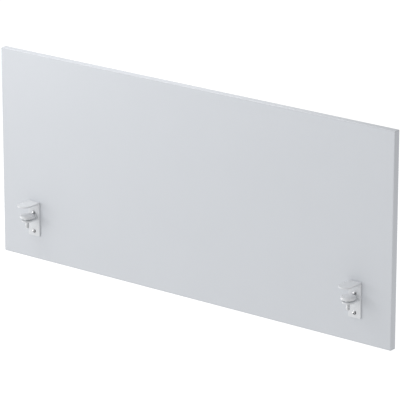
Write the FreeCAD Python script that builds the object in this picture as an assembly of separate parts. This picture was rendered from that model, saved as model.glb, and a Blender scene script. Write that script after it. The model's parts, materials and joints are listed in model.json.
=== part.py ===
import FreeCAD, Part
import math
import os
from FreeCAD import Vector

# Desk screen: a melamine-faced board held on a desk's edge by two screw clamps.
# Millimetres. +X runs along the screen, the clamps stand out towards -Y, +Z is up.
# The origin is midway between the clamps, where the plane of the desk top (z = 0)
# meets the front faces of the bracket plates (y = 0).

# Board
panel_width = 1000.0
panel_height = 450.0
panel_thickness = 16.0
laminate_thickness = 0.5
band_thickness = 2.0
arris_radius = 1.5

# Bracket plate, pressed out at its top into the tongue that sits on the desk top
sheet_thickness = 3.0
plate_width = 30.0
plate_height = 75.5
plate_corner_radius = 2.0
bend_inner_radius = 1.5
bend_outer_radius = 1.0
tongue_reach = 45.0
sheet_edge_radius = 0.4
bracket_from_panel_end = 86.0
plate_above_panel_bottom = 51.5

# Soft pads
tongue_pad_thickness = 1.0
tongue_pad_margin = 2.5
disc_pad_thickness = 1.0
disc_pad_margin = 0.5

# Pressure disc
clamp_opening = 20.5
disc_radius = 15.0
disc_thickness = 4.5
disc_edge_radius = 0.7
disc_plate_gap = 7.0
disc_rest_gap = 3.0

# Clamp arm, seated in the plate by a tenon
arm_thickness = 3.0
arm_side_step = 3.0
tenon_shoulder = 4.0
tenon_clearance = 0.05

# Threaded bush, pressed into the arm from above
bush_flange_radius = 6.75
bush_flange_thickness = 1.5
bush_flange_chamfer = 0.4
bush_shank_radius = 5.5
bush_press_clearance = 0.02

# Clamp screw: threaded stem, and a neck riveted over inside the disc
stem_radius = 4.0
stem_clearance = 0.05
stem_below_arm = 15.5
stem_end_chamfer = 0.8
socket_across_flats = 4.0
socket_depth = 5.0
neck_radius = 2.5
neck_clearance = 0.05
swivel_play = 0.05
rivet_head_radius = 4.0
rivet_head_thickness = 1.2
rivet_head_clearance = 0.3

# Wood screws, with domed heads and a cross recess
screw_above_arm = 10.0
screw_above_plate_bottom = 10.5
screw_head_radius = 4.25
screw_head_height = 2.8
screw_head_rim = 0.7
screw_crest_radius = 2.2
screw_root_radius = 1.6
screw_pitch = 1.8
screw_point_length = 4.0
screw_point_cover = 3.0
screw_hole_clearance = 0.3
pilot_clearance = 0.05
pilot_end_clearance = 0.5
recess_radius = 2.9
recess_floor_radius = 0.7
recess_width = 1.2
recess_depth = 1.9

# Degrees. Faces that meet at less than this run smoothly into each other.
smooth_angle = 25.0

# Heights and distances that follow from the sizes above
tongue_top = tongue_pad_thickness + sheet_thickness
plate_bottom = tongue_top - plate_height
panel_bottom = plate_bottom - plate_above_panel_bottom
panel_top = panel_bottom + panel_height
panel_front = sheet_thickness
panel_back = panel_front + panel_thickness
bracket_x = panel_width / 2 - bracket_from_panel_end
clamp_reach = disc_plate_gap + disc_radius
disc_pad_top = -clamp_opening
disc_top = disc_pad_top - disc_pad_thickness
disc_bottom = disc_top - disc_thickness
flange_top = disc_bottom - disc_rest_gap
arm_top = flange_top - bush_flange_thickness
arm_bottom = arm_top - arm_thickness
arm_width = plate_width - 2 * arm_side_step
tenon_width = arm_width - 2 * tenon_shoulder
stem_bottom = arm_bottom - stem_below_arm
screw_heights = {
    "upper_screw": arm_top + screw_above_arm,
    "lower_screw": plate_bottom + screw_above_plate_bottom,
}
screw_length = sheet_thickness + panel_thickness - screw_point_cover

UP = Vector(0, 0, 1)
INTO_BOARD = Vector(0, 1, 0)
CLAMP_AXIS = Vector(0, -clamp_reach, 0)


def block(low, high):
    """A box between two corners."""
    size = [b - a for a, b in zip(low, high)]
    return Part.makeBox(*size, Vector(*low))


def upright(radius, low, high):
    """A round bar on the clamp axis, from one height to another."""
    return Part.makeCylinder(radius, high - low, CLAMP_AXIS + UP * low, UP)


def level(radius, height, start, end):
    """A round bar along Y at a height, from one depth to another."""
    return Part.makeCylinder(radius, end - start, Vector(0, start, height), INTO_BOARD)


def round_ended(width, near, reach, low, high):
    """A flat bar from y = near out to y = -reach, with a full round end there."""
    half = width / 2
    centre = half - reach
    bar = block((-half, centre, low), (half, near, high))
    end = Part.makeCylinder(half, high - low, Vector(0, centre, low), UP)
    return bar.fuse(end).removeSplitter()


def sharp_edges(solid):
    """The edges where two faces meet at a corner, and don't run smoothly into each other."""
    edges = []
    for edge in solid.Edges:
        middle = edge.valueAt((edge.FirstParameter + edge.LastParameter) / 2)
        faces = solid.ancestorsOfType(edge, Part.Face)
        normals = [face.normalAt(*face.Surface.parameter(middle)) for face in faces]
        if len(normals) == 2 and math.degrees(normals[0].getAngle(normals[1])) > smooth_angle:
            edges.append(edge)
    return edges


def board_pieces():
    """Core, two faces and four edge bands. The long bands lie over the ends of the short ones."""
    half = panel_width / 2
    inner = half - band_thickness
    low = panel_bottom + band_thickness
    high = panel_top - band_thickness
    core_front = panel_front + laminate_thickness
    core_back = panel_back - laminate_thickness
    whole = block((-half, panel_front, panel_bottom), (half, panel_back, panel_top))
    rounded = whole.makeFillet(arris_radius, whole.Edges)
    pieces = {
        "panel_core": block((-inner, core_front, low), (inner, core_back, high)),
        "front_laminate": block((-inner, panel_front, low), (inner, core_front, high)),
        "rear_laminate": block((-inner, core_back, low), (inner, panel_back, high)),
    }
    bands = {
        "top_edge_band": block((-half, panel_front, high), (half, panel_back, panel_top)),
        "bottom_edge_band": block((-half, panel_front, panel_bottom), (half, panel_back, low)),
        "left_edge_band": block((-half, panel_front, low), (-inner, panel_back, high)),
        "right_edge_band": block((inner, panel_front, low), (half, panel_back, high)),
    }
    for name, strip in bands.items():
        pieces[name] = rounded.common(strip)
    pilot_radius = screw_crest_radius + pilot_clearance
    pilot_end = screw_length + pilot_end_clearance
    for x in (-bracket_x, bracket_x):
        for height in screw_heights.values():
            pilot = level(pilot_radius, height, 0, pilot_end).translated(Vector(x, 0, 0))
            for name in ("panel_core", "front_laminate"):
                pieces[name] = pieces[name].cut(pilot)
    return pieces


def bent_strip():
    """The upright plate, the tight bend and the tongue as one strip, with a round end and softened edges."""
    half = plate_width / 2

    def point(y, z):
        return Vector(-half, y, z)

    def on_bend(radius, corner_y, corner_z):
        short_of_corner = radius * (1 - math.sqrt(0.5))
        return point(corner_y - short_of_corner, corner_z - short_of_corner)

    corners = {
        "back_low": point(sheet_thickness, plate_bottom),
        "back_high": point(sheet_thickness, tongue_top - bend_outer_radius),
        "top_near": point(sheet_thickness - bend_outer_radius, tongue_top),
        "top_far": point(-tongue_reach, tongue_top),
        "under_far": point(-tongue_reach, tongue_pad_thickness),
        "under_near": point(-bend_inner_radius, tongue_pad_thickness),
        "front_high": point(0, tongue_pad_thickness - bend_inner_radius),
        "front_low": point(0, plate_bottom),
    }
    bends = {
        "back_high": on_bend(bend_outer_radius, sheet_thickness, tongue_top),
        "under_near": on_bend(bend_inner_radius, 0, tongue_pad_thickness),
    }
    names = list(corners)
    edges = []
    for name, following in zip(names, names[1:] + names[:1]):
        start = corners[name]
        end = corners[following]
        if name in bends:
            edges.append(Part.Arc(start, bends[name], end).toShape())
        else:
            edges.append(Part.makeLine(start, end))
    strip = Part.Face(Part.Wire(edges)).extrude(Vector(plate_width, 0, 0))
    strip = strip.common(round_ended(plate_width, sheet_thickness, tongue_reach, plate_bottom, tongue_top))
    lower_corners = [
        edge for edge in strip.Edges
        if edge.BoundBox.ZMax < plate_bottom + sheet_thickness and edge.BoundBox.XLength < half
    ]
    strip = strip.makeFillet(plate_corner_radius, lower_corners)
    return strip.makeFillet(sheet_edge_radius, sharp_edges(strip))


def bracket_plate():
    """The bent strip with its screw holes and the slot for the arm's tenon."""
    in_front = -sheet_thickness
    behind = 2 * sheet_thickness
    slot_half = tenon_width / 2 + tenon_clearance
    slot = block(
        (-slot_half, in_front, arm_bottom - tenon_clearance),
        (slot_half, behind, arm_top + tenon_clearance),
    )
    plate = bent_strip().cut(slot)
    hole_radius = screw_crest_radius + screw_hole_clearance
    for height in screw_heights.values():
        plate = plate.cut(level(hole_radius, height, in_front, behind))
    return plate


def tongue_pad():
    """A thin pad on the tongue's flat underside, set in from its edges and clear of the bend."""
    width = plate_width - 2 * tongue_pad_margin
    near = -bend_inner_radius - tongue_pad_margin
    return round_ended(width, near, tongue_reach - tongue_pad_margin, 0, tongue_pad_thickness)


def clamp_arm():
    """The lower arm: a round end about the clamp axis, a tenon through the plate and a hole for the bush."""
    arm = round_ended(arm_width, 0, clamp_reach + arm_width / 2, arm_bottom, arm_top)
    clear_of_plate = [edge for edge in sharp_edges(arm) if edge.BoundBox.YMin < -sheet_edge_radius]
    arm = arm.makeFillet(sheet_edge_radius, clear_of_plate)
    tenon = block((-tenon_width / 2, 0, arm_bottom), (tenon_width / 2, sheet_thickness, arm_top))
    hole = upright(bush_shank_radius + bush_press_clearance, arm_bottom, arm_top)
    return arm.fuse(tenon).cut(hole).removeSplitter()


def threaded_bush():
    """A flange that bears on the arm, a shank flush with the arm's underside, and the screw's bore."""
    flange = upright(bush_flange_radius, arm_top, flange_top)
    rim = [edge for edge in flange.Edges if edge.BoundBox.ZMin > arm_top]
    flange = flange.makeChamfer(bush_flange_chamfer, rim)
    shank = upright(bush_shank_radius, arm_bottom, arm_top)
    bore = upright(stem_radius + stem_clearance, arm_bottom, flange_top)
    return flange.fuse(shank).cut(bore).removeSplitter()


def rivet_seat():
    """The height of the floor of the disc's counterbore, which the neck's riveted head holds down."""
    return disc_top - rivet_head_thickness - rivet_head_clearance


def clamp_screw():
    """Stem with a chamfered end and a hex socket, a thinner neck, and the head riveted over it."""
    shoulder = disc_bottom - swivel_play
    head_bottom = rivet_seat() + swivel_play
    stem = upright(stem_radius, stem_bottom, shoulder)
    tip = [edge for edge in stem.Edges if edge.BoundBox.ZMax < stem_bottom + stem_end_chamfer]
    stem = stem.makeChamfer(stem_end_chamfer, tip)
    corner_radius = socket_across_flats / math.sqrt(3)
    corners = []
    for step in range(7):
        angle = math.radians(60 * step)
        across = Vector(math.cos(angle), math.sin(angle), 0) * corner_radius
        corners.append(CLAMP_AXIS + across + UP * stem_bottom)
    socket = Part.Face(Part.makePolygon(corners)).extrude(UP * socket_depth)
    neck = upright(neck_radius, shoulder, head_bottom)
    head = upright(rivet_head_radius, head_bottom, head_bottom + rivet_head_thickness)
    return stem.cut(socket).fuse([neck, head]).removeSplitter()


def pressure_disc():
    """A round foot with softened edges, bored for the neck and counterbored for its riveted head."""
    disc = upright(disc_radius, disc_bottom, disc_top)
    rims = [edge for edge in disc.Edges if edge.Closed]
    disc = disc.makeFillet(disc_edge_radius, rims)
    bore = upright(neck_radius + neck_clearance, disc_bottom, disc_top)
    counterbore = upright(rivet_head_radius + rivet_head_clearance, rivet_seat(), disc_top)
    return disc.cut(bore.fuse(counterbore))


def disc_pad():
    """A thin pad that covers the disc's top."""
    return upright(disc_radius - disc_pad_margin, disc_top, disc_pad_top)


def wood_screw(height):
    """A domed head with a cross recess, and a ridged shank that tapers to a point, at a height."""
    dome = screw_head_height - screw_head_rim
    dome_radius = (screw_head_radius ** 2 + dome ** 2) / (2 * dome)
    half_way = screw_head_radius / 2
    dome_fall = dome_radius - math.sqrt(dome_radius ** 2 - half_way ** 2)
    crown = Vector(0, -screw_head_height, 0)
    shoulder = Vector(half_way, dome_fall - screw_head_height, 0)
    rim = Vector(screw_head_radius, -screw_head_rim, 0)
    profile = [
        rim,
        Vector(screw_head_radius, 0, 0),
        Vector(screw_crest_radius, 0, 0),
        Vector(screw_crest_radius, sheet_thickness, 0),
    ]
    ridge_count = int((screw_length - sheet_thickness - screw_point_length) / screw_pitch)
    for ridge in range(ridge_count):
        start = sheet_thickness + ridge * screw_pitch
        profile.append(Vector(screw_root_radius, start + screw_pitch / 2, 0))
        profile.append(Vector(screw_crest_radius, start + screw_pitch, 0))
    profile.append(Vector(screw_root_radius, screw_length - screw_point_length, 0))
    profile.append(Vector(0, screw_length, 0))
    profile.append(crown)
    outline = Part.makePolygon(profile).Edges
    outline.append(Part.Arc(crown, shoulder, rim).toShape())
    body = Part.Face(Part.Wire(outline)).revolve(Vector(0, 0, 0), INTO_BOARD, 360)
    wing_long = recess_radius
    wing_half = recess_width / 2
    deep = recess_depth - screw_head_height
    taper = Part.makeCone(recess_radius, recess_floor_radius, recess_depth, crown, INTO_BOARD)
    across = block((-wing_long, -screw_head_height, -wing_half), (wing_long, deep, wing_half))
    along = block((-wing_half, -screw_head_height, -wing_long), (wing_half, deep, wing_long))
    recess = across.fuse(along).common(taper)
    return body.cut(recess).translated(UP * height)


def clamp_pieces():
    """Every piece of one clamp, at x = 0."""
    pieces = {
        "bracket_plate": bracket_plate(),
        "tongue_pad": tongue_pad(),
        "clamp_arm": clamp_arm(),
        "threaded_bush": threaded_bush(),
        "clamp_screw": clamp_screw(),
        "pressure_disc": pressure_disc(),
        "disc_pad": disc_pad(),
    }
    for name, height in screw_heights.items():
        pieces[name] = wood_screw(height)
    return pieces


nodes = board_pieces()
for name, piece in clamp_pieces().items():
    nodes["left_" + name] = piece.translated(Vector(-bracket_x, 0, 0))
    nodes["right_" + name] = piece.translated(Vector(bracket_x, 0, 0))

os.makedirs("parts", exist_ok=True)
for name, shape in nodes.items():
    assert shape.isValid() and len(shape.Solids) == 1, name
    shape.Solids[0].exportStep("parts/" + name + ".step")
    print(name, "volume", round(shape.Volume, 2))
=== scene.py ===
# %% [markdown]
# A desk screen: a light grey melamine-faced board with two screw clamps that grip a desk's edge.
# The solid model already holds every piece at its real size and place. This lesson gives the pieces
# their finishes, models again the few whose form a plain solid can't show, and lights them as the
# photograph does. Everything is in metres: +X along the screen, the clamps towards -Y, +Z up.

# %% Load the frame
import json
import math

import bmesh
import bpy
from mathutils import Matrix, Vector


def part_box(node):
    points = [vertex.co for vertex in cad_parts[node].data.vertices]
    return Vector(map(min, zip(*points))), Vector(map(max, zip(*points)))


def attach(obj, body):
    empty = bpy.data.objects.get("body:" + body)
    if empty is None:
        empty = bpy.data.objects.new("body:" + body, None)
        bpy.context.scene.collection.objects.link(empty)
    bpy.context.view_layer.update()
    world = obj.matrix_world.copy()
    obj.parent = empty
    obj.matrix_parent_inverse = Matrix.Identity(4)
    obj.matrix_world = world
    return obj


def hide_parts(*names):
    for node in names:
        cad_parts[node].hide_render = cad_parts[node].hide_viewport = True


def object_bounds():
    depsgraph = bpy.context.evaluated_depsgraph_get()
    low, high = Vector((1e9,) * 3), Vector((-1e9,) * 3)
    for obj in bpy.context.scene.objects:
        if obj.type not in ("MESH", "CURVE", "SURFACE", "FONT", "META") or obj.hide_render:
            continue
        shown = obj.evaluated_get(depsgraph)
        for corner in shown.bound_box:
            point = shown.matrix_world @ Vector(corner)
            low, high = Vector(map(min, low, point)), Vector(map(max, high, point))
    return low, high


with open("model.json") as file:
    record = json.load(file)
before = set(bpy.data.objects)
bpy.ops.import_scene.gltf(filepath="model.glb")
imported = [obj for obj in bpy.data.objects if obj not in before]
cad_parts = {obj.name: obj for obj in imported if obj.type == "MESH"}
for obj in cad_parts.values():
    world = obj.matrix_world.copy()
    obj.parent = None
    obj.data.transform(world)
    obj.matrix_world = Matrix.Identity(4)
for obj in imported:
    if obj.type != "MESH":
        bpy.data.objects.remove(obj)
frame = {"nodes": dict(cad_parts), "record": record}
cad_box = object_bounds()
nodes = frame["nodes"]
SIDES = ("left", "right")
MM = 0.001
print("pieces in the frame:", len(nodes))

# %% [markdown]
# The camera comes first, because each later choice is judged through it. The photograph shows the
# screen from the right and a little above, through a long lens, so its edges barely converge. A camera
# could be moved about by eye until the picture looks right. Here its lens, angles and place were found by
# matching the four corners of the board, with the whole board inside the frame, which is surer.

# %% Camera
PHOTO_PIXELS = 400
FOCAL_PIXELS = 3150
SENSOR_WIDTH = 36.0
CAMERA_YAW = math.radians(37.64)
CAMERA_PITCH = math.radians(18.06)
CAMERA_FROM_FACE = Vector((3.733, -4.804, 1.971))

face_low, face_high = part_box("front_laminate")
face_centre = (face_low + face_high) / 2
face_centre.y = face_low.y

camera_data = bpy.data.cameras.new("camera")
camera_data.sensor_width = SENSOR_WIDTH
camera_data.lens = SENSOR_WIDTH * FOCAL_PIXELS / PHOTO_PIXELS
camera = bpy.data.objects.new("camera", camera_data)
camera.location = face_centre + CAMERA_FROM_FACE
camera.rotation_euler = (math.pi / 2 - CAMERA_PITCH, 0.0, CAMERA_YAW)
bpy.context.scene.collection.objects.link(camera)
bpy.context.scene.camera = camera
print("lens in millimetres:", round(camera_data.lens, 1))

# %% [markdown]
# Every finish below is a small network of shader nodes, and so are the surroundings. They could be wired
# by hand in the node editor, but a script says the same in a few lines once it has some helpers. The
# first gives a node its inputs: a plain value goes on the socket, and the output of another node is linked
# to it. The second adds a node, and the third starts a node group with named inputs and outputs.


# %% Helpers for nodes
def feed(tree, node, inputs):
    """Give a node its inputs: plain values as they are, and outputs of other nodes as links."""
    for socket, value in inputs.items():
        if isinstance(value, bpy.types.NodeSocket):
            tree.links.new(value, node.inputs[socket])
        else:
            node.inputs[socket].default_value = value


def add_node(tree, kind, inputs=None, **settings):
    """A new shader node with its settings and its inputs."""
    node = tree.nodes.new("ShaderNode" + kind)
    for name, value in settings.items():
        setattr(node, name, value)
    feed(tree, node, inputs or {})
    return node


def new_group(name, inputs, outputs):
    """An empty shader node group: its tree, the sockets that its inputs come from, and its output node."""
    tree = bpy.data.node_groups.new(name, "ShaderNodeTree")
    for in_out, sockets in (("INPUT", inputs), ("OUTPUT", outputs)):
        for socket, kind in sockets.items():
            tree.interface.new_socket(socket, in_out=in_out, socket_type="NodeSocket" + kind)
    given = tree.nodes.new("NodeGroupInput")
    return tree, given.outputs, tree.nodes.new("NodeGroupOutput")


print("helpers for nodes:", [helper.__name__ for helper in (feed, add_node, new_group)])

# %% [markdown]
# Nodes also do sums, and four more helpers let the sums be read as sums: one for numbers, one for vectors,
# one that multiplies a vector or a colour by a number, and one that fades from a low to a high value while
# another value passes between two limits. Blender calls that last one Map Range.


# %% Helpers for sums
def on_numbers(tree, operation, *values):
    """The number that a Math node gives."""
    return add_node(tree, "Math", dict(enumerate(values)), operation=operation).outputs["Value"]


def on_vectors(tree, operation, *values):
    """The vector that a Vector Math node gives."""
    return add_node(tree, "VectorMath", dict(enumerate(values)), operation=operation).outputs["Vector"]


def scaled(tree, vector, factor):
    """A vector or a colour, times a number."""
    return add_node(tree, "VectorMath", {0: vector, "Scale": factor}, operation="SCALE").outputs["Vector"]


def fade(tree, value, starts=0.0, ends=1.0, low=0.0, high=1.0):
    """A number that goes from low to high while a value goes from where the fade starts to where it ends."""
    ranges = {"From Min": starts, "From Max": ends, "To Min": low, "To Max": high}
    return add_node(tree, "MapRange", {"Value": value, **ranges}).outputs["Result"]


print("helpers for sums:", [helper.__name__ for helper in (on_numbers, on_vectors, scaled, fade)])

# %% [markdown]
# A white studio, as a product photographer sets it up. Its floor is there for the camera and for soft
# shadows only. White cloth alone would come out grey in the picture unless it were lit very strongly, so
# this floor also glows, and it is hidden from the light that bounces, so the glow never reaches the screen.

# %% Floor
FLOOR_SIZE = 40.0
FLOOR_GREY = (0.25, 0.25, 0.25, 1.0)
GLOW_COLOUR = (1.0, 1.0, 1.0, 1.0)
GLOW_STRENGTH = 0.9

floor_level = cad_box[0].z


def make_floor():
    """A wide white floor at the level of the screen's lower edge."""
    half = FLOOR_SIZE / 2
    corners = [(x, y, floor_level) for x, y in ((-half, -half), (half, -half), (half, half), (-half, half))]
    mesh = bpy.data.meshes.new("studio_floor")
    mesh.from_pydata(corners, [], [(0, 1, 2, 3)])
    floor = bpy.data.objects.new("studio_floor", mesh)
    bpy.context.scene.collection.objects.link(floor)
    paint = bpy.data.materials.new("studio_white")
    paint.use_nodes = True
    look = {"Base Color": FLOOR_GREY, "Roughness": 1.0, "Specular IOR Level": 0.0}
    glow = {"Emission Color": GLOW_COLOUR, "Emission Strength": GLOW_STRENGTH}
    feed(paint.node_tree, paint.node_tree.nodes["Principled BSDF"], {**look, **glow})
    mesh.materials.append(paint)
    floor.visible_diffuse = False
    floor.visible_glossy = False


make_floor()
print("floor level:", round(floor_level, 4))

# %% [markdown]
# The screen stands in a tent of white cloth that lights it from all round, a little more from the left,
# the front and below, so no side is ever black. Polished metal would look flat in there, because it only
# looks like metal when it mirrors something dark. So reflections see a dim room instead: it is lighter
# behind the screen, and it has a soft light panel in front on the left and one small bright wall at the
# left. Two sets of lamps could do this, each hidden from the other's surfaces. One background does it more
# simply: its Light Path node tells whether a ray comes from the camera, a matt surface or a reflection.
# The fades are set by how far a direction points towards the panel or the wall, from -1 to 1.

# %% Surroundings
TENT_LIGHT = 0.778
TENT_LEAN = Vector((-0.27, -0.105, -0.25))
LIGHT_PANEL = Vector((-0.45, -0.87, -0.2))
BRIGHT_WALL = Vector((-0.983, -0.1, -0.15))
ROOM_LIGHT, ROOM_DARK, PANEL_LIGHT, WALL_LIGHT = 0.33, 0.06, 0.7, 4.0
BEHIND_ENDS, DARK_STARTS = -0.5, -0.1
PANEL_STARTS, PANEL_FULL = 0.5, 0.7
WALL_STARTS, WALL_FULL = 0.94, 0.985


def towards(tree, direction, aim):
    """How far a direction points towards an aim."""
    product = add_node(tree, "VectorMath", {0: direction, 1: aim}, operation="DOT_PRODUCT")
    return product.outputs["Value"]


def make_surroundings():
    """White for the camera, a tent for matt surfaces, and a dim room with two lights for reflections."""
    world = bpy.data.worlds.new("studio")
    bpy.context.scene.world = world
    world.use_nodes = True
    tree = world.node_tree
    direction = add_node(tree, "TexCoord").outputs["Generated"]
    ray = add_node(tree, "LightPath").outputs
    lean = towards(tree, direction, TENT_LEAN)
    tent = on_numbers(tree, "MULTIPLY_ADD", lean, TENT_LIGHT, TENT_LIGHT)
    to_panel = towards(tree, direction, LIGHT_PANEL)
    to_wall = towards(tree, direction, BRIGHT_WALL)
    room = fade(tree, to_panel, BEHIND_ENDS, DARK_STARTS, ROOM_LIGHT, ROOM_DARK)
    panel = fade(tree, to_panel, PANEL_STARTS, PANEL_FULL, high=PANEL_LIGHT)
    wall = fade(tree, to_wall, WALL_STARTS, WALL_FULL, high=WALL_LIGHT)
    mirrored = on_numbers(tree, "ADD", on_numbers(tree, "ADD", room, panel), wall)
    direct = fade(tree, ray["Is Camera Ray"], low=tent)
    seen = fade(tree, ray["Is Glossy Ray"], low=direct, high=mirrored)
    feed(tree, tree.nodes["Background"], {"Color": seen})
    return world


surroundings = make_surroundings()
bpy.context.scene.view_settings.view_transform = "Standard"
print("surroundings:", surroundings.name)

# %% [markdown]
# Four softboxes give the light its direction. A large one at the left front makes the slow fall of light
# across the board and the shadows to the right of the brackets. One above the left half lights the tops of
# the left clamp's pieces and the upper part of the face. A smaller one, above and behind, brightens the
# upper edge, and a small reflector by the right end lifts the foot of the end face. Glowing planes could do
# the same, but area lights are sampled better, so the picture has less noise.

# %% Softboxes
SOFTBOXES = {
    "left_softbox": {
        "place": (-2.5, -2.1, 0.4), "aim": (0.0, 0.0, 0.1), "size": (1.9, 1.7), "watts": 26.0,
    },
    "top_softbox": {
        "place": (-0.7, -0.3, 1.25), "aim": (-0.3, -0.01, 0.1), "size": (0.8, 0.8), "watts": 5.6,
    },
    "rear_softbox": {
        "place": (-0.2, 0.42, 0.83), "aim": (-0.2, 0.0, 0.327), "size": (0.5, 0.3), "watts": 2.06,
    },
    "low_reflector": {
        "place": (0.92, 0.21, -0.06), "aim": (0.5, 0.01, -0.1), "size": (0.12, 0.12), "watts": 0.31,
    },
}


def make_softbox(name, place, aim, size, watts):
    """A rectangular soft light that stands at a place and faces an aim."""
    lamp = bpy.data.lights.new(name, "AREA")
    lamp.shape = "RECTANGLE"
    lamp.size, lamp.size_y = size
    lamp.energy = watts
    light = bpy.data.objects.new(name, lamp)
    light.location = place
    light.rotation_euler = (Vector(aim) - Vector(place)).to_track_quat("-Z", "Y").to_euler()
    bpy.context.scene.collection.objects.link(light)


for name, setting in SOFTBOXES.items():
    make_softbox(name, **setting)
print("lights:", list(SOFTBOXES))

# %% [markdown]
# Real finishes are never one number all over: colour drifts a little, a fine grain breaks up the light,
# and handling makes some patches glossier than others. Pictures of real surfaces could give all that, but
# they blur close up and need every piece laid out flat. Noise needs neither. Almost every finish here uses
# these three effects, so each is a node group, made once and placed in a material with its own values.
# They work from the position on the object in metres, so a grain of 1 mm is 1 mm on every piece.

# %% Shared effects: grain, drift and sheen
NOISE_ROUGHNESS = 0.55
NOISE_LOW, NOISE_HIGH = 0.25, 0.75
GRAIN_DETAIL, DRIFT_DETAIL, SHEEN_DETAIL = 2.0, 3.0, 5.0


def noise_at(tree, given, detail):
    """Cloudy noise at a group's position, in patches as large as the group's size."""
    per_metre = on_numbers(tree, "DIVIDE", 1.0, given["Size"])
    position = scaled(tree, given["Position"], per_metre)
    look = {"Scale": 1.0, "Detail": detail, "Roughness": NOISE_ROUGHNESS}
    return add_node(tree, "TexNoise", {"Vector": position, **look}).outputs["Fac"]


def swing_at(tree, given, detail):
    """The same noise as a swing from -1 to 1."""
    return fade(tree, noise_at(tree, given, detail), NOISE_LOW, NOISE_HIGH, -1.0, 1.0)


def make_grain():
    """Height of a fine grain."""
    sockets = {"Position": "Vector", "Size": "Float"}
    tree, given, result = new_group("fine_grain", sockets, {"Height": "Float"})
    feed(tree, result, {"Height": noise_at(tree, given, GRAIN_DETAIL)})
    return tree


def make_drift():
    """A colour that grows a little lighter and darker in soft patches."""
    sockets = {"Position": "Vector", "Size": "Float", "Colour": "Color", "Amount": "Float"}
    tree, given, result = new_group("colour_drift", sockets, {"Colour": "Color"})
    swing = swing_at(tree, given, DRIFT_DETAIL)
    factor = on_numbers(tree, "MULTIPLY_ADD", swing, given["Amount"], 1.0)
    feed(tree, result, {"Colour": scaled(tree, given["Colour"], factor)})
    return tree


def make_sheen():
    """A roughness that changes in smudges, as on handled surfaces."""
    sockets = {"Position": "Vector", "Size": "Float", "Roughness": "Float", "Change": "Float"}
    tree, given, result = new_group("handled_sheen", sockets, {"Roughness": "Float"})
    swing = swing_at(tree, given, SHEEN_DETAIL)
    rough = on_numbers(tree, "MULTIPLY_ADD", swing, given["Change"], given["Roughness"])
    feed(tree, result, {"Roughness": rough})
    return tree


grain_group = make_grain()
drift_group = make_drift()
sheen_group = make_sheen()
print("shared effects:", [group.name for group in bpy.data.node_groups])

# %% [markdown]
# A banded board shows a hairline wherever two of its skins meet: round the faces, and at the ends, where
# the long bands lie over the short ones. A real groove would need very fine faces along metres of board,
# for a line of half a millimetre. A mask worked out from the position needs none. It measures how far a
# point lies beyond the rim of the face, and it is a group because the faces and the bands, on the two
# sides of a joint, have to agree where the line is.

# %% Shared effect: the joint lines of the board
SEAM_HALF_WIDTH = 0.15 * MM
SEAM_FADE = 0.15 * MM


def make_seam():
    """A mask that is 1 on the joint lines: level ones along the whole board, and uprights between them."""
    tree, given, result = new_group("seam_line", {"Position": "Vector"}, {"Mask": "Float"})
    from_centre = on_vectors(tree, "SUBTRACT", given["Position"], face_centre)
    folded = on_vectors(tree, "ABSOLUTE", from_centre)
    beyond_rim = on_vectors(tree, "SUBTRACT", folded, (face_high - face_low) / 2)
    beyond = add_node(tree, "SeparateXYZ", {"Vector": beyond_rim}).outputs
    beside = on_numbers(tree, "ABSOLUTE", beyond["X"])
    level = on_numbers(tree, "ABSOLUTE", beyond["Z"])
    upright = on_numbers(tree, "MAXIMUM", beside, beyond["Z"])
    nearest = on_numbers(tree, "MINIMUM", upright, level)
    mask = fade(tree, nearest, SEAM_HALF_WIDTH + SEAM_FADE, SEAM_HALF_WIDTH)
    feed(tree, result, {"Mask": mask})
    return tree


seam_group = make_seam()
print("joint line width in millimetres:", round(2 * (SEAM_HALF_WIDTH + SEAM_FADE) / MM, 2))

# %% [markdown]
# A finish is then put together from a few blocks. One starts the material, one takes a shared effect into
# it, one draws a position out for grain that runs one way, one presses a height into the surface as a bump,
# and one darkens a colour where a mask says so. Each finish could spell these out, but then what is special
# about it would be lost among what all of them share.


# %% Building blocks of a finish
def start_finish(name):
    """A new material, its tree, its shader, and the position on the object."""
    material = bpy.data.materials.new(name)
    material.use_nodes = True
    tree = material.node_tree
    position = add_node(tree, "TexCoord").outputs["Object"]
    return material, tree, tree.nodes["Principled BSDF"], position


def take_effect(tree, group, position, **values):
    """What a shared effect gives at a position, with a finish's own values."""
    return add_node(tree, "Group", {"Position": position, **values}, node_tree=group).outputs[0]


def stretch(tree, position, scale):
    """A position drawn out by a scale along each axis."""
    return add_node(tree, "Mapping", {"Vector": position, "Scale": scale}).outputs["Vector"]


def emboss(tree, shader, height, depth):
    """A bump on the shader from a height between 0 and 1 and a depth in metres."""
    bump = add_node(tree, "Bump", {"Strength": 1.0, "Height": height, "Distance": depth})
    feed(tree, shader, {"Normal": bump.outputs["Normal"]})


def darken(tree, colour, mask, amount):
    """A colour made darker by an amount where a mask is 1."""
    return scaled(tree, colour, on_numbers(tree, "MULTIPLY_ADD", mask, -amount, 1.0))


FINISH_BLOCKS = (start_finish, take_effect, stretch, emboss, darken)
print("blocks of a finish:", [block.__name__ for block in FINISH_BLOCKS])

# %% [markdown]
# The board's faces are paper soaked in melamine resin and pressed on a steel plate with a fine pearl
# texture. From where the camera stands that is a plain, faintly cool light grey with a broken sheen. Close
# up it is a field of shallow dimples under a millimetre across. A bump of a few hundredths of a millimetre
# gives them, and the same grain darkens the colour a little as painted shade, in place of the shade that
# the dimples hold. Modelling the dimples would take millions of faces and look no better.

# %% Melamine faces
BOARD_GREY = (0.654, 0.678, 0.714, 1.0)
SEAM_SHADE = 0.16
MELAMINE_IOR = 1.5


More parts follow.
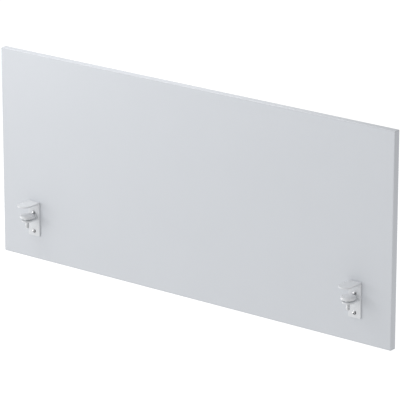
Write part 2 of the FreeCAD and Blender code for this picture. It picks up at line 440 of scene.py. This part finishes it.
def melamine():
    """Light grey melamine with a pearl texture, and the joint line round its rim."""
    material, tree, shader, position = start_finish("pearl_melamine")
    tint = take_effect(tree, drift_group, position, Size=110 * MM, Colour=BOARD_GREY, Amount=0.008)
    sheen = take_effect(tree, sheen_group, position, Size=35 * MM, Roughness=0.42, Change=0.05)
    pearl = take_effect(tree, grain_group, position, Size=0.7 * MM)
    seam = take_effect(tree, seam_group, position)
    # Painted shade: the pearl grain darkens the colour a little.
    colour = darken(tree, tint, pearl, amount=0.06)
    colour = darken(tree, colour, seam, amount=SEAM_SHADE)
    feed(tree, shader, {"Base Color": colour, "Roughness": sheen, "IOR": MELAMINE_IOR})
    emboss(tree, shader, pearl, depth=0.04 * MM)
    return material


melamine_finish = melamine()
print("made", melamine_finish.name)

# %% [markdown]
# The edge bands are extruded plastic in the same grey, a shade smoother than the faces, and the extruder
# leaves faint lines along their length. A wave texture would make the lines too regular, so the grain of
# the faces is used again, drawn out along the band: along X on the long bands and along Z on the short ones.

# %% Edge bands: finish
LINE_DRAW = 0.02


def edging(name, along):
    """Smooth light grey plastic with fine lines along one axis."""
    material, tree, shader, position = start_finish(name)
    drawn_out = stretch(tree, position, along)
    tint = take_effect(tree, drift_group, position, Size=90 * MM, Colour=BOARD_GREY, Amount=0.01)
    sheen = take_effect(tree, sheen_group, drawn_out, Size=4 * MM, Roughness=0.34, Change=0.05)
    lines = take_effect(tree, grain_group, drawn_out, Size=0.5 * MM)
    seam = take_effect(tree, seam_group, position)
    colour = darken(tree, tint, lines, amount=0.03)
    colour = darken(tree, colour, seam, amount=SEAM_SHADE)
    feed(tree, shader, {"Base Color": colour, "Roughness": sheen})
    emboss(tree, shader, lines, depth=0.015 * MM)
    return material


long_edging = edging("edging_lengthwise", (LINE_DRAW, 1.0, 1.0))
short_edging = edging("edging_upright", (1.0, 1.0, LINE_DRAW))
print("made", long_edging.name, "and", short_edging.name)

# %% [markdown]
# The bands are modelled again, because their arrises catch the only thin highlights on the board and the
# solid model's are coarse. A new piece always ends the same way, so a helper turns its bmesh into an object
# with soft shading, hides the solid node it stands for, and hangs it on the body that carries it. The
# weighted normals keep flats flat next to round edges.

# %% From a bmesh to a piece
SMOOTH_ANGLE = math.radians(30)


def to_piece(name, form, finish, node, body):
    """Turn a bmesh into a piece with soft shading, which stands for a node and rides on a body."""
    bmesh.ops.recalc_face_normals(form, faces=form.faces[:])
    mesh = bpy.data.meshes.new(name)
    form.to_mesh(mesh)
    form.free()
    mesh.shade_smooth()
    mesh.set_sharp_from_angle(angle=SMOOTH_ANGLE)
    mesh.materials.append(finish)
    piece = bpy.data.objects.new(name, mesh)
    bpy.context.scene.collection.objects.link(piece)
    normals = piece.modifiers.new("even_shading", "WEIGHTED_NORMAL")
    normals.keep_sharp = True
    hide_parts(node)
    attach(piece, body)
    return piece


print("shading stays smooth up to", round(math.degrees(SMOOTH_ANGLE)), "degrees")

# %% [markdown]
# Each band starts as a box between the corners of its node. An edge of that box is an arris of the board
# where both faces beside it are outer faces of the board, and only those edges are bevelled: six segments
# over the 1.5 mm that the edging machine rounds. A bevel modifier could find them by angle, but it would
# round the joints between the bands as well.

# %% Edge bands: form
ARRIS_RADIUS = 1.5 * MM
ARRIS_SEGMENTS = 6
ROUND_PROFILE = 0.5
SAME_PLACE = 0.01 * MM
BANDS = {
    "top_edge_band": long_edging,
    "bottom_edge_band": long_edging,
    "left_edge_band": short_edging,
    "right_edge_band": short_edging,
}

band_boxes = [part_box(node) for node in BANDS]
board_low = Vector([min(low[axis] for low, high in band_boxes) for axis in range(3)])
board_high = Vector([max(high[axis] for low, high in band_boxes) for axis in range(3)])


def is_outer(face):
    """True where a face of a band lies on the outside of the board."""
    for axis in range(3):
        for limit in (board_low[axis], board_high[axis]):
            if all(abs(corner.co[axis] - limit) < SAME_PLACE for corner in face.verts):
                return True
    return False


def make_band(node, finish):
    """One edge band with its outer arrises rounded."""
    low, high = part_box(node)
    form = bmesh.new()
    bmesh.ops.create_cube(form, size=1.0)
    bmesh.ops.scale(form, vec=high - low, verts=form.verts[:])
    bmesh.ops.translate(form, vec=(low + high) / 2, verts=form.verts[:])
    arrises = [edge for edge in form.edges if all(is_outer(face) for face in edge.link_faces)]
    bevel = {"offset": ARRIS_RADIUS, "segments": ARRIS_SEGMENTS, "profile": ROUND_PROFILE}
    bmesh.ops.bevel(form, geom=arrises, affect="EDGES", clamp_overlap=True, **bevel)
    return to_piece(node + "_form", form, finish, node, "screen")


for node, finish in BANDS.items():
    band = make_band(node, finish)
    print(band.name, len(band.data.polygons), "faces")

# %% [markdown]
# Between the faces is chipboard: flat chips of wood glued and pressed together, lighter and darker, lying
# in the plane of the board. Nothing of it shows while the bands are on, but the pilot holes would show it
# when a screw is drawn. Modelled chips would be wasted there, so Voronoi cells that are flat along Y stand
# for them.

# %% Chipboard core
CHIPS_PER_METRE = 350.0
CHIP_FLATNESS = (1.0, 3.0, 1.0)
CHIP_DARK = (0.25, 0.16, 0.08, 1.0)
CHIP_MIDDLE = (0.45, 0.31, 0.17, 1.0)
CHIP_LIGHT = (0.58, 0.42, 0.25, 1.0)
RAMP_MIDDLE = 0.5


def chipboard():
    """Pressed wood chips: flat cells of three browns."""
    material, tree, shader, position = start_finish("pressed_chips")
    flat = stretch(tree, position, CHIP_FLATNESS)
    chips = add_node(tree, "TexVoronoi", {"Vector": flat, "Scale": CHIPS_PER_METRE}).outputs
    browns = add_node(tree, "ValToRGB", {"Fac": chips["Color"]})
    stops = browns.color_ramp.elements
    stops[0].color = CHIP_DARK
    stops[1].color = CHIP_LIGHT
    stops.new(RAMP_MIDDLE).color = CHIP_MIDDLE
    sheen = take_effect(tree, sheen_group, position, Size=4 * MM, Roughness=0.88, Change=0.06)
    feed(tree, shader, {"Base Color": browns.outputs["Color"], "Roughness": sheen})
    emboss(tree, shader, chips["Distance"], depth=0.2 * MM)
    return material


chip_finish = chipboard()
print("made", chip_finish.name)

# %% [markdown]
# The brackets are bent sheet steel under light grey powder coat. The powder melts into a smooth, slightly
# wavy skin, which makers call orange peel: waves a millimetre or two long and only hundredths of a
# millimetre high. They hardly show in the colour, but they soften the edges of each reflection. A rougher
# shader would soften them too, but evenly, like plastic, so the waves are a bump.

# %% Powder coat
COAT_GREY = (0.73, 0.745, 0.765, 1.0)
COAT_IOR = 1.52


def powder_coat():
    """Semi-gloss light grey powder coat with a faint orange peel."""
    material, tree, shader, position = start_finish("powder_coat")
    tint = take_effect(tree, drift_group, position, Size=20 * MM, Colour=COAT_GREY, Amount=0.012)
    sheen = take_effect(tree, sheen_group, position, Size=6 * MM, Roughness=0.33, Change=0.04)
    peel = take_effect(tree, grain_group, position, Size=1.5 * MM)
    feed(tree, shader, {"Base Color": tint, "Roughness": sheen, "IOR": COAT_IOR})
    emboss(tree, shader, peel, depth=0.03 * MM)
    return material


coat_finish = powder_coat()
print("made", coat_finish.name)

# %% [markdown]
# The wood screws have a domed head with a cross recess. Its colour is darkened in that recess, partly for
# wax and dust from the driver's bit and partly as painted shade for the shadow inside it. The mask for it
# needs no painted picture: a point is in the recess where it lies deeper than the sphere that the dome is
# part of. All four screws share one mask, because the position is folded about the middle between them,
# first left on right and then lower on upper.

# %% Grime and painted shade in the screws' recesses
HEAD_DOME = 2.1 * MM
# Depths below the dome where the grime and painted shade in a recess begin and are full.
GRIME_AND_SHADE_STARTS, GRIME_AND_SHADE_FULL = 0.2 * MM, 0.9 * MM

upper_low, upper_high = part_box("right_upper_screw")
lower_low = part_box("right_lower_screw")[0]
head_radius = (upper_high.x - upper_low.x) / 2
dome_radius = (head_radius ** 2 + HEAD_DOME ** 2) / (2 * HEAD_DOME)


def dome_centre(low):
    """The centre of the sphere that a screw's dome is part of, from the lowest corner of the screw."""
    return Vector((low.x + head_radius, low.y + dome_radius, low.z + head_radius))


upper_dome = dome_centre(upper_low)
lower_dome = dome_centre(lower_low)
screws_middle = Vector((0.0, upper_dome.y, (upper_dome.z + lower_dome.z) / 2))


def recess_grime_and_shade_mask(tree, position):
    """A mask that is 1 deep in a wood screw's recess and 0 on its dome, for grime and painted shade."""
    from_middle = on_vectors(tree, "SUBTRACT", position, screws_middle)
    folded = on_vectors(tree, "ABSOLUTE", from_middle)
    ends = {0: folded, 1: upper_dome - screws_middle}
    from_dome = add_node(tree, "VectorMath", ends, operation="DISTANCE").outputs["Value"]
    return fade(tree, from_dome, dome_radius - GRIME_AND_SHADE_STARTS, dome_radius - GRIME_AND_SHADE_FULL)


print("radius of the domes in millimetres:", round(dome_radius / MM, 2))

# %% [markdown]
# Two plated metals. The clamp screws and their bushes are zinc plated: the bloom of fine crystals on the
# plate scatters as much light as the metal mirrors, so the finish is only half metallic, a soft pale grey.
# The wood screws are nickel plated and polished, so they mirror the room: the light panel in the middle of
# a dome, a white spot from the wall at its left, and dark round its rim. Two separate materials would
# repeat each other, so both are one network with different values, and only the nickel is darkened in its
# recesses, by grime and painted shade.

# %% Plated metals
ZINC_GREY = (0.86, 0.87, 0.88, 1.0)
NICKEL_GREY = (0.78, 0.785, 0.795, 1.0)


def plated(name, colour, metallic, roughness, change, bloom, grime_and_shade=0.0):
    """Plated metal with a drift of colour, uneven polish, a fine bloom, and grime with painted shade in
    recesses.
    """
    material, tree, shader, position = start_finish(name)
    tint = take_effect(tree, drift_group, position, Size=1.6 * MM, Colour=colour, Amount=0.05)
    sheen = take_effect(tree, sheen_group, position, Size=1.0 * MM, Roughness=roughness, Change=change)
    crystals = take_effect(tree, grain_group, position, Size=0.25 * MM)
    if grime_and_shade:
        # Grime and painted shade: the colour is darkened deep in the screws' recesses.
        tint = darken(tree, tint, recess_grime_and_shade_mask(tree, position), grime_and_shade)
    feed(tree, shader, {"Base Color": tint, "Metallic": metallic, "Roughness": sheen})
    emboss(tree, shader, crystals, bloom)
    return material


zinc_finish = plated("zinc_plate", ZINC_GREY, metallic=0.45, roughness=0.5, change=0.06, bloom=0.012 * MM)
# The nickel's colour is darkened in the recesses by grime and painted shade.
nickel_finish = plated(
    "nickel_plate", NICKEL_GREY, metallic=1.0, roughness=0.14, change=0.04, bloom=0.003 * MM, grime_and_shade=0.55
)
print("made", zinc_finish.name, "and", nickel_finish.name)

# %% [markdown]
# A clamp screw is an M8 thread of 1.25 mm pitch, which the solid model keeps as a plain bar. Here it gets
# its real thread. Blender's Screw modifier could sweep the profile, but would leave its ends open and
# ragged, so the thread is a grid of points wound on a cylinder. Each column of the grid is one angle, and
# each row keeps one place on the thread's profile as it climbs round by one pitch, so after a full turn a
# row meets the row one profile further up. At both ends the points stop at the end of the bar and under a
# 45 degree chamfer. There many points fall together, and merging them leaves one clean ring.

# %% Clamp screws: thread
COLUMNS = 48
THREAD_PITCH = 1.25 * MM
DEPTH_PER_PITCH = 0.613
THREAD_DEPTH = DEPTH_PER_PITCH * THREAD_PITCH
END_BELOW_ROOT = 0.03 * MM
THREAD_PROFILE = (
    (0.0, 0.05), (0.03, 0.0), (0.1, 0.0), (0.13, 0.05),
    (0.42, 0.95), (0.47, 1.0), (0.65, 1.0), (0.7, 0.95),
)


def column_angle(column):
    """The angle of a column about an upright axis."""
    return 2 * math.pi * column / COLUMNS


def point_at(centre, reach, angle, height):
    """A point at a reach and an angle from an upright axis."""
    return Vector((centre.x + reach * math.cos(angle), centre.y + reach * math.sin(angle), height))


def wind_thread(form, centre, radius, low, high):
    """A right-hand thread between two heights, chamfered to its root at both ends. Gives the end radius."""
    end_radius = radius - THREAD_DEPTH - END_BELOW_ROOT
    turns = math.ceil((high - low) / THREAD_PITCH)
    rows = []
    for turn in range(-1, turns + 1):
        for share, cut in THREAD_PROFILE:
            row = []
            for column in range(COLUMNS):
                climb = turn + share + column / COLUMNS
                height = min(max(low + climb * THREAD_PITCH, low), high)
                chamfers = (end_radius + height - low, end_radius + high - height)
                reach = min(radius - cut * THREAD_DEPTH, *chamfers)
                row.append(form.verts.new(point_at(centre, reach, column_angle(column), height)))
            rows.append(row)
    turn_rows = len(THREAD_PROFILE)
    for index in range(len(rows) - turn_rows - 1):
        lower, upper = rows[index], rows[index + 1]
        for column in range(COLUMNS - 1):
            form.faces.new((lower[column], lower[column + 1], upper[column + 1], upper[column]))
        next_lower, next_upper = rows[index + turn_rows], rows[index + turn_rows + 1]
        form.faces.new((lower[-1], next_lower[0], next_upper[0], upper[-1]))
    return end_radius


print("thread depth in millimetres:", round(THREAD_DEPTH / MM, 3))

# %% [markdown]
# The rest of a clamp screw is a stack of rings, and so are the pads further on. A lathe, Blender's Spin,
# would turn the round ones, but the key's socket is a hexagon. So one helper skins any stack of rings that
# have the same number of points, round or six-sided, and closes the last one with a tip.

# %% Rings of points
HEXAGON_SIDES = 6


def around(centre, radius, height):
    """A round ring of points about an upright axis."""
    return [point_at(centre, radius, column_angle(column), height) for column in range(COLUMNS)]


def hexagon(centre, across_flats, height):
    """A six-sided ring of points about an upright axis."""
    side_angle = 2 * math.pi / HEXAGON_SIDES
    points = []
    for column in range(COLUMNS):
        angle = column_angle(column)
        from_flat = angle % side_angle - side_angle / 2
        points.append(point_at(centre, across_flats / 2 / math.cos(from_flat), angle, height))
    return points


def skin(form, rings, tip):
    """Faces between successive rings of points, and a fan from the last ring to a tip."""
    loops = [[form.verts.new(point) for point in ring] for ring in rings]
    for lower, upper in zip(loops, loops[1:]):
        for column in range(COLUMNS):
            after = (column + 1) % COLUMNS
            form.faces.new((lower[column], lower[after], upper[after], upper[column]))
    point = form.verts.new(tip)
    for column in range(COLUMNS):
        form.faces.new((loops[-1][column], loops[-1][(column + 1) % COLUMNS], point))


print("points in a ring:", COLUMNS)

# %% [markdown]
# Now the clamp screw itself. Its lower end has the hexagonal socket for the key, with a small lead round
# its mouth and the cone that the drill left. At its top is the neck that the pressure disc swivels on, and
# the head that is riveted over the disc. The thread lies between the two.

# %% Clamp screws: from socket to rivet
SOCKET_ACROSS_FLATS = 4.0 * MM
SOCKET_DEPTH = 5.0 * MM
SOCKET_POINT = 0.9 * MM
SOCKET_LEAD = 0.25 * MM
NECK_RADIUS = 2.5 * MM
NECK_HEIGHT = 3.1 * MM
RIVET_HEAD_HEIGHT = 1.2 * MM
RIVET_HEAD_ROUND = 0.4 * MM
MERGE_DISTANCE = 0.001 * MM


def make_clamp_screw(side):
    """One clamp screw, from the socket in its lower end to its riveted head."""
    node = side + "_clamp_screw"
    low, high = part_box(node)
    centre = (low + high) / 2
    radius = (high.x - low.x) / 2
    head_low = high.z - RIVET_HEAD_HEIGHT
    shoulder = head_low - NECK_HEIGHT
    socket_end = low.z + SOCKET_DEPTH - SOCKET_POINT
    form = bmesh.new()
    end_radius = wind_thread(form, centre, radius, low.z, shoulder)
    socket = [
        around(centre, end_radius, low.z),
        hexagon(centre, SOCKET_ACROSS_FLATS + 2 * SOCKET_LEAD, low.z),
        hexagon(centre, SOCKET_ACROSS_FLATS, low.z + SOCKET_LEAD),
        hexagon(centre, SOCKET_ACROSS_FLATS, socket_end),
    ]
    rivet = [
        around(centre, end_radius, shoulder),
        around(centre, NECK_RADIUS, shoulder),
        around(centre, NECK_RADIUS, head_low),
        around(centre, radius, head_low),
        around(centre, radius, high.z - RIVET_HEAD_ROUND),
        around(centre, radius - RIVET_HEAD_ROUND, high.z),
    ]
    skin(form, socket, tip=(centre.x, centre.y, socket_end + SOCKET_POINT))
    skin(form, rivet, tip=(centre.x, centre.y, high.z))
    bmesh.ops.remove_doubles(form, verts=form.verts[:], dist=MERGE_DISTANCE)
    return to_piece(node + "_form", form, zinc_finish, node, side + "_stem")


for side in SIDES:
    screw = make_clamp_screw(side)
    print(screw.name, len(screw.data.polygons), "faces")

# %% [markdown]
# Soft pads keep the clamps from marking the desk. They are thin cell rubber, stuck to the underside of each
# tongue and to the top of each pressure disc. The rubber is matt and full of fine closed cells, about half
# a millimetre across. Noise is too cloudy for cells with walls, so Voronoi cells make the bump.

# %% Soft pads: finish
PAD_GREY = (0.77, 0.78, 0.80, 1.0)
CELLS_PER_METRE = 2200.0


def cell_rubber():
    """Matt light grey rubber with fine closed cells."""
    material, tree, shader, position = start_finish("cell_rubber")
    tint = take_effect(tree, drift_group, position, Size=3.0 * MM, Colour=PAD_GREY, Amount=0.03)
    sheen = take_effect(tree, sheen_group, position, Size=2.0 * MM, Roughness=0.82, Change=0.06)
    cells = add_node(tree, "TexVoronoi", {"Vector": position, "Scale": CELLS_PER_METRE}).outputs
    feed(tree, shader, {"Base Color": tint, "Roughness": sheen})
    emboss(tree, shader, cells["Distance"], depth=0.06 * MM)
    return material


pad_finish = cell_rubber()
print("made", pad_finish.name)

# %% [markdown]
# Cut rubber has soft rims, and a free pad swells slightly in the middle. A subdivided block would be soft
# too, but it would shrink away from its outline. So the pads are skinned from rings that follow a rounded
# rim. The disc pads are round, with a low crown. The tongue pads follow the tongue's own outline, with
# straight sides and one round end, and are flat, because the tongue and the desk press on them.

# %% Soft pads: form
RIM_ROUND = 0.35 * MM
RIM_STEPS = 5
PAD_CROWN = 0.06 * MM
PAD_CORNER = 2.0 * MM
CROWN_SHARES = (0.85, 0.6, 0.3)


def rim_profile(bottom, top):
    """How far a pad's rim is set in, and at what height, from its bottom face to its top face."""
    quarter = [math.pi / 2 * step / RIM_STEPS for step in range(RIM_STEPS + 1)]
    arc = [(RIM_ROUND * (1 - math.sin(angle)), RIM_ROUND * (1 - math.cos(angle))) for angle in quarter]
    lower = [(inset, bottom + rise) for inset, rise in arc]
    upper = [(rise, top - inset) for inset, rise in arc]
    return lower + upper


def make_disc_pad(side):
    """The round pad on a pressure disc, with a low crown."""
    node = side + "_disc_pad"
    low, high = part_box(node)
    centre = (low + high) / 2
    radius = (high.x - low.x) / 2
    flat = radius - RIM_ROUND
    rim = rim_profile(low.z, high.z - PAD_CROWN)
    rings = [around(centre, radius - inset, height) for inset, height in rim]
    rings += [around(centre, flat * share, high.z - PAD_CROWN * share ** 2) for share in CROWN_SHARES]
    form = bmesh.new()
    skin(form, rings, tip=(centre.x, centre.y, high.z))
    skin(form, [around(centre, flat, low.z)], tip=(centre.x, centre.y, low.z))
    bmesh.ops.remove_doubles(form, verts=form.verts[:], dist=MERGE_DISTANCE)
    return to_piece(node + "_form", form, pad_finish, node, side + "_foot")


def tongue_outline(low, high, inset, height):
    """The outline of a tongue's pad, set in by a distance: a round far end and two small near corners."""
    half = (high.x - low.x) / 2
    middle = (low.x + high.x) / 2
    near = high.y - PAD_CORNER
    arcs = (
        (Vector((middle, low.y + half)), half, 180, 360, COLUMNS // 2),
        (Vector((high.x - PAD_CORNER, near)), PAD_CORNER, 0, 90, COLUMNS // 4),
        (Vector((low.x + PAD_CORNER, near)), PAD_CORNER, 90, 180, COLUMNS // 4),
    )
    points = []
    for centre, radius, start, end, count in arcs:
        for step in range(count):
            angle = math.radians(start + (end - start) * step / (count - 1))
            points.append(point_at(centre, radius - inset, angle, height))
    return points


def make_tongue_pad(side):
    """The pad under a tongue, with a rounded rim."""
    node = side + "_tongue_pad"
    low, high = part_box(node)
    centre = (low + high) / 2
    rings = [tongue_outline(low, high, inset, height) for inset, height in rim_profile(low.z, high.z)]
    form = bmesh.new()
    skin(form, rings, tip=(centre.x, centre.y, high.z))
    skin(form, rings[:1], tip=(centre.x, centre.y, low.z))
    bmesh.ops.remove_doubles(form, verts=form.verts[:], dist=MERGE_DISTANCE)
    return to_piece(node + "_form", form, pad_finish, node, "screen")


for side in SIDES:
    for pad in (make_disc_pad(side), make_tongue_pad(side)):
        print(pad.name, len(pad.data.polygons), "faces")

# %% [markdown]
# The other pieces keep their solids, whose shapes are right already, and only take on a finish. The list
# could be typed out, but the record already says which finish each piece has, so a loop reads it there.

# %% Finishes of the pieces from the solid model
FINISH_OF_SLOT = {
    "laminate": melamine_finish,
    "edge_band": long_edging,
    "chipboard": chip_finish,
    "bracket_coat": coat_finish,
    "zinc": zinc_finish,
    "nickel": nickel_finish,
    "pad": pad_finish,
}
for entry in frame["record"]["subparts"]:
    materials = nodes[entry["node"]].data.materials
    materials.clear()
    materials.append(FINISH_OF_SLOT[entry["material_slot"]])
print("finishes in use:", len(FINISH_OF_SLOT))
